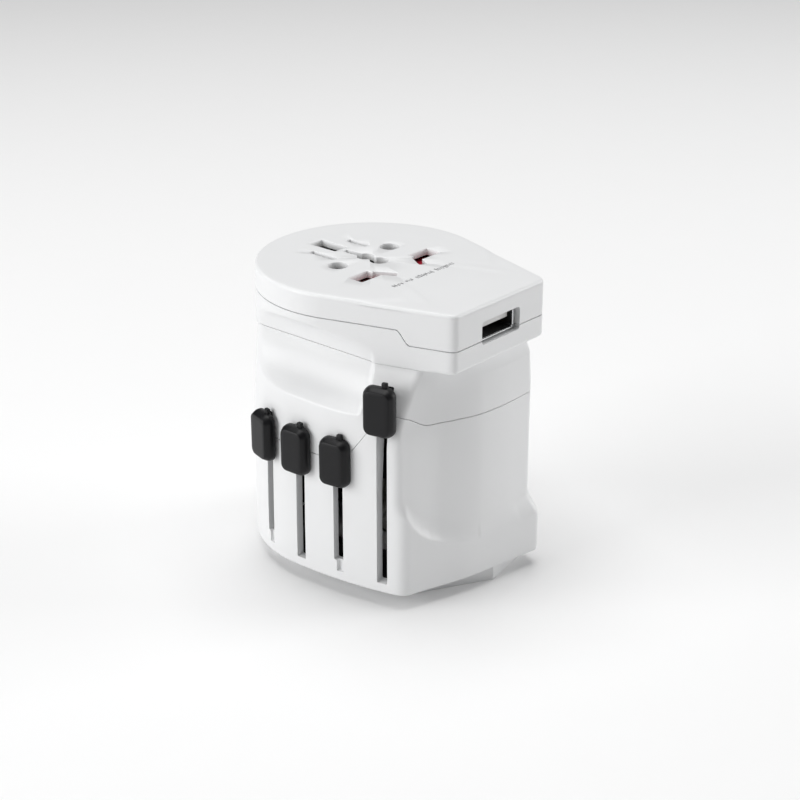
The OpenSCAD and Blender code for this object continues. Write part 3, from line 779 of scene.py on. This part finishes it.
def tube_shell(name, w, h, r, wall, y0, y1, flare):
    """Sheet-metal sleeve along Y, open at its front, with a rolled lip."""
    a, b = w / 2, h / 2
    rings = [(flare, y0), (0.02, y0 + 0.25), (0, y0 + 0.6), (0, y1),
             (-wall, y1), (-wall, y0 + 0.6), (0.02 - wall, y0 + 0.25), (flare - wall * 0.8, y0)]
    verts = []
    for grow, y in rings:
        outline = rounded_rect(0, 0, 2 * (a + grow), 2 * (b + grow), r)
        verts += [(x, y, PORT_Z + z) for x, z in outline]
    return new_object(name, verts, strips(len(rings), len(verts) // len(rings), closed=True))


sleeve = tube_shell("port_sleeve", 12.4, 4.6, 0.5, 0.3, -42.1, -28.4, 0.1)
place(sleeve, "housing", "port_shell", "port_metal", PORT)
# The sleeve's inner faces, all but the metal lip, take the near-black: painted shade inside the port.
sleeve.data.materials.append(PORT_PAINTED_SHADE)
for f in sleeve.data.polygons:
    c = f.center / MM
    if c.y > -41.8 and abs(c.x) < 6.05 and abs(c.z - PORT_Z) < 2.15:
        f.material_index = 1
tongue = box_mesh("port_tongue_bar", (-5.5, 5.5), (-40.8, -30.0), (69.6, 71.4), 0.2)
# A near-black block behind the tongue: painted shade for the depth of the port.
back = box_mesh("port_back_painted_shade", (-6.2, 6.2), (-30.4, -28.9), (67.3, 71.7), 0.1)
tongue.data.materials.append(TONGUE)
back.data.materials.append(PORT_PAINTED_SHADE)
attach(tongue, "housing")
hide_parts("port_tongue")
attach(back, "housing")


# ---------------------------------------------------------------- printed dashes on the face

def dashes():
    """A faint row of short strokes in four groups, as a stand-in for print."""
    rng = np.random.default_rng(7)
    made, x = [], -12.0
    for group in (5, 4, 9, 11):
        for _ in range(group):
            w = float(rng.choice([0.2, 0.3, 0.42]))
            h = float(rng.choice([0.9, 1.2, 1.5]))
            y = -20.2 + float(rng.choice([-0.15, 0.0, 0.15]))
            made.append(box_mesh("dash", (x, x + w), (y - h / 2, y + h / 2),
                                 (TOP_FACE - 0.02, TOP_FACE + 0.015), 0.01, 1))
            x += w + 0.34
        x += 1.1
    return join("face_dashes", made)


marks = dashes()
marks.data.materials.append(INK)
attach(marks, "housing")


# ---------------------------------------------------------------- carried-over nodes

FINISHES = {
    "base_plate": WHITE_EDGE, "shutter_stop": WHITE_EDGE, "carriage_1": INNER, "carriage_2": INNER,
    "carriage_3": INNER, "carriage_4": INNER, "pin_sleeves_1": SLEEVE, "guide_rods": STEEL,
    "guide_bridge": INNER, "contact_tub": INNER, "contact_line": BRASS, "contact_neutral": BRASS,
    "contact_earth": BRASS, "shutter": RED, "shutter_spring": STEEL, "port_contacts": GOLD,
    "circuit_board": BOARD, "transformer": COIL, "capacitors": CAN, "chips": CHIP,
    "fuse_tube": glass(), "fuse_caps": STEEL, "fuse_clips": BRASS, "body_screws": STEEL,
}
for node, mat in FINISHES.items():
    dress(node, mat)


# ---------------------------------------------------------------- stage, light and camera

def area(name, loc, size, power):
    """Square area light that faces the part."""
    data = bpy.data.lights.new(name, "AREA")
    data.shape = "RECTANGLE"
    data.size, data.size_y = size, size
    data.energy = power
    obj = linked(name, data)
    obj.location = loc
    obj.rotation_euler = (MIDDLE - Vector(loc)).to_track_quat("-Z", "Y").to_euler()


def stage():
    """Pale floor under the part."""
    mesh = bpy.data.meshes.new("floor")
    s = 3.0
    mesh.from_pydata([(-s, -s, 0), (s, -s, 0), (s, s, 0), (-s, s, 0)], [], [(0, 1, 2, 3)])
    floor = linked("floor", mesh)
    paper = material("floor_paper", (0.9, 0.9, 0.9), 0.9, specular=0.1, mottle=0.004, rough_var=0.02)
    floor.data.materials.append(paper)


def camera():
    """Camera at the photo's angle."""
    data = bpy.data.cameras.new("camera")
    data.lens = 82.0
    data.sensor_width = 36
    data.clip_start, data.clip_end = 0.01, 20
    cam = linked("camera", data)
    right = Vector((0.6565, -0.7544, 0.0))
    back = Vector((-0.6910, -0.6013, 0.4012)).normalized()
    up = back.cross(right).normalized()
    right = up.cross(back)
    m = Matrix((right, up, back)).transposed().to_4x4()
    m.translation = Vector((-0.3166, -0.2873, 0.2252))
    cam.matrix_world = m
    bpy.context.scene.camera = cam


def backdrop():
    """Even white light from all round."""
    world = bpy.data.worlds.new("studio")
    world.use_nodes = True
    background = world.node_tree.nodes["Background"]
    background.inputs["Color"].default_value = (1, 1, 1, 1)
    background.inputs["Strength"].default_value = 0.12
    bpy.context.scene.world = world


MIDDLE = Vector((0, -0.01, 0.04))
stage()
camera()
backdrop()
bpy.context.scene.view_settings.view_transform = "Standard"
area("key", (-1.0, 0.53, 0.42), 0.8, 9.5)
area("top", (0.05, 0.1, 1.2), 1.0, 11.5)
area("right", (0.85, -0.7, 0.35), 0.6, 5.2)
